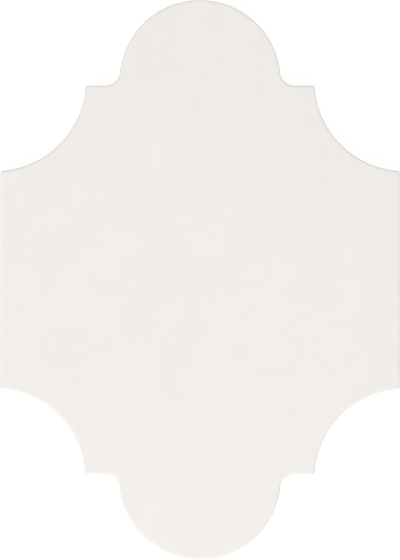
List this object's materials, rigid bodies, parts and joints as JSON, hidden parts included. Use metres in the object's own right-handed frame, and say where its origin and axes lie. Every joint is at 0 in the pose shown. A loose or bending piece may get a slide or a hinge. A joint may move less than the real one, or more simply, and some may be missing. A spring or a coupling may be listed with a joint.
{
  "type": "lantern-shaped porcelain tile",
  "caption": "Flat glazed porcelain tile with a lantern outline: straight sides, rounded ends, stepped shoulders and round bays that neighbours fit into; keyed back with square pockets.",
  "frame": {"origin": "centre of the bedding plane, under the middle of the tile", "axes": "+X across the two straight sides, +Y along the tile to a rounded end, +Z out of the glazed face"},
  "size_m": [0.2034, 0.285, 0.009],
  "materials": {
    "tile": "satin white glaze on the face, bare fired porcelain on the sides and back"
  },
  "bodies": {
    "root": {"tile": "tile"}
  },
  "joints": []
}
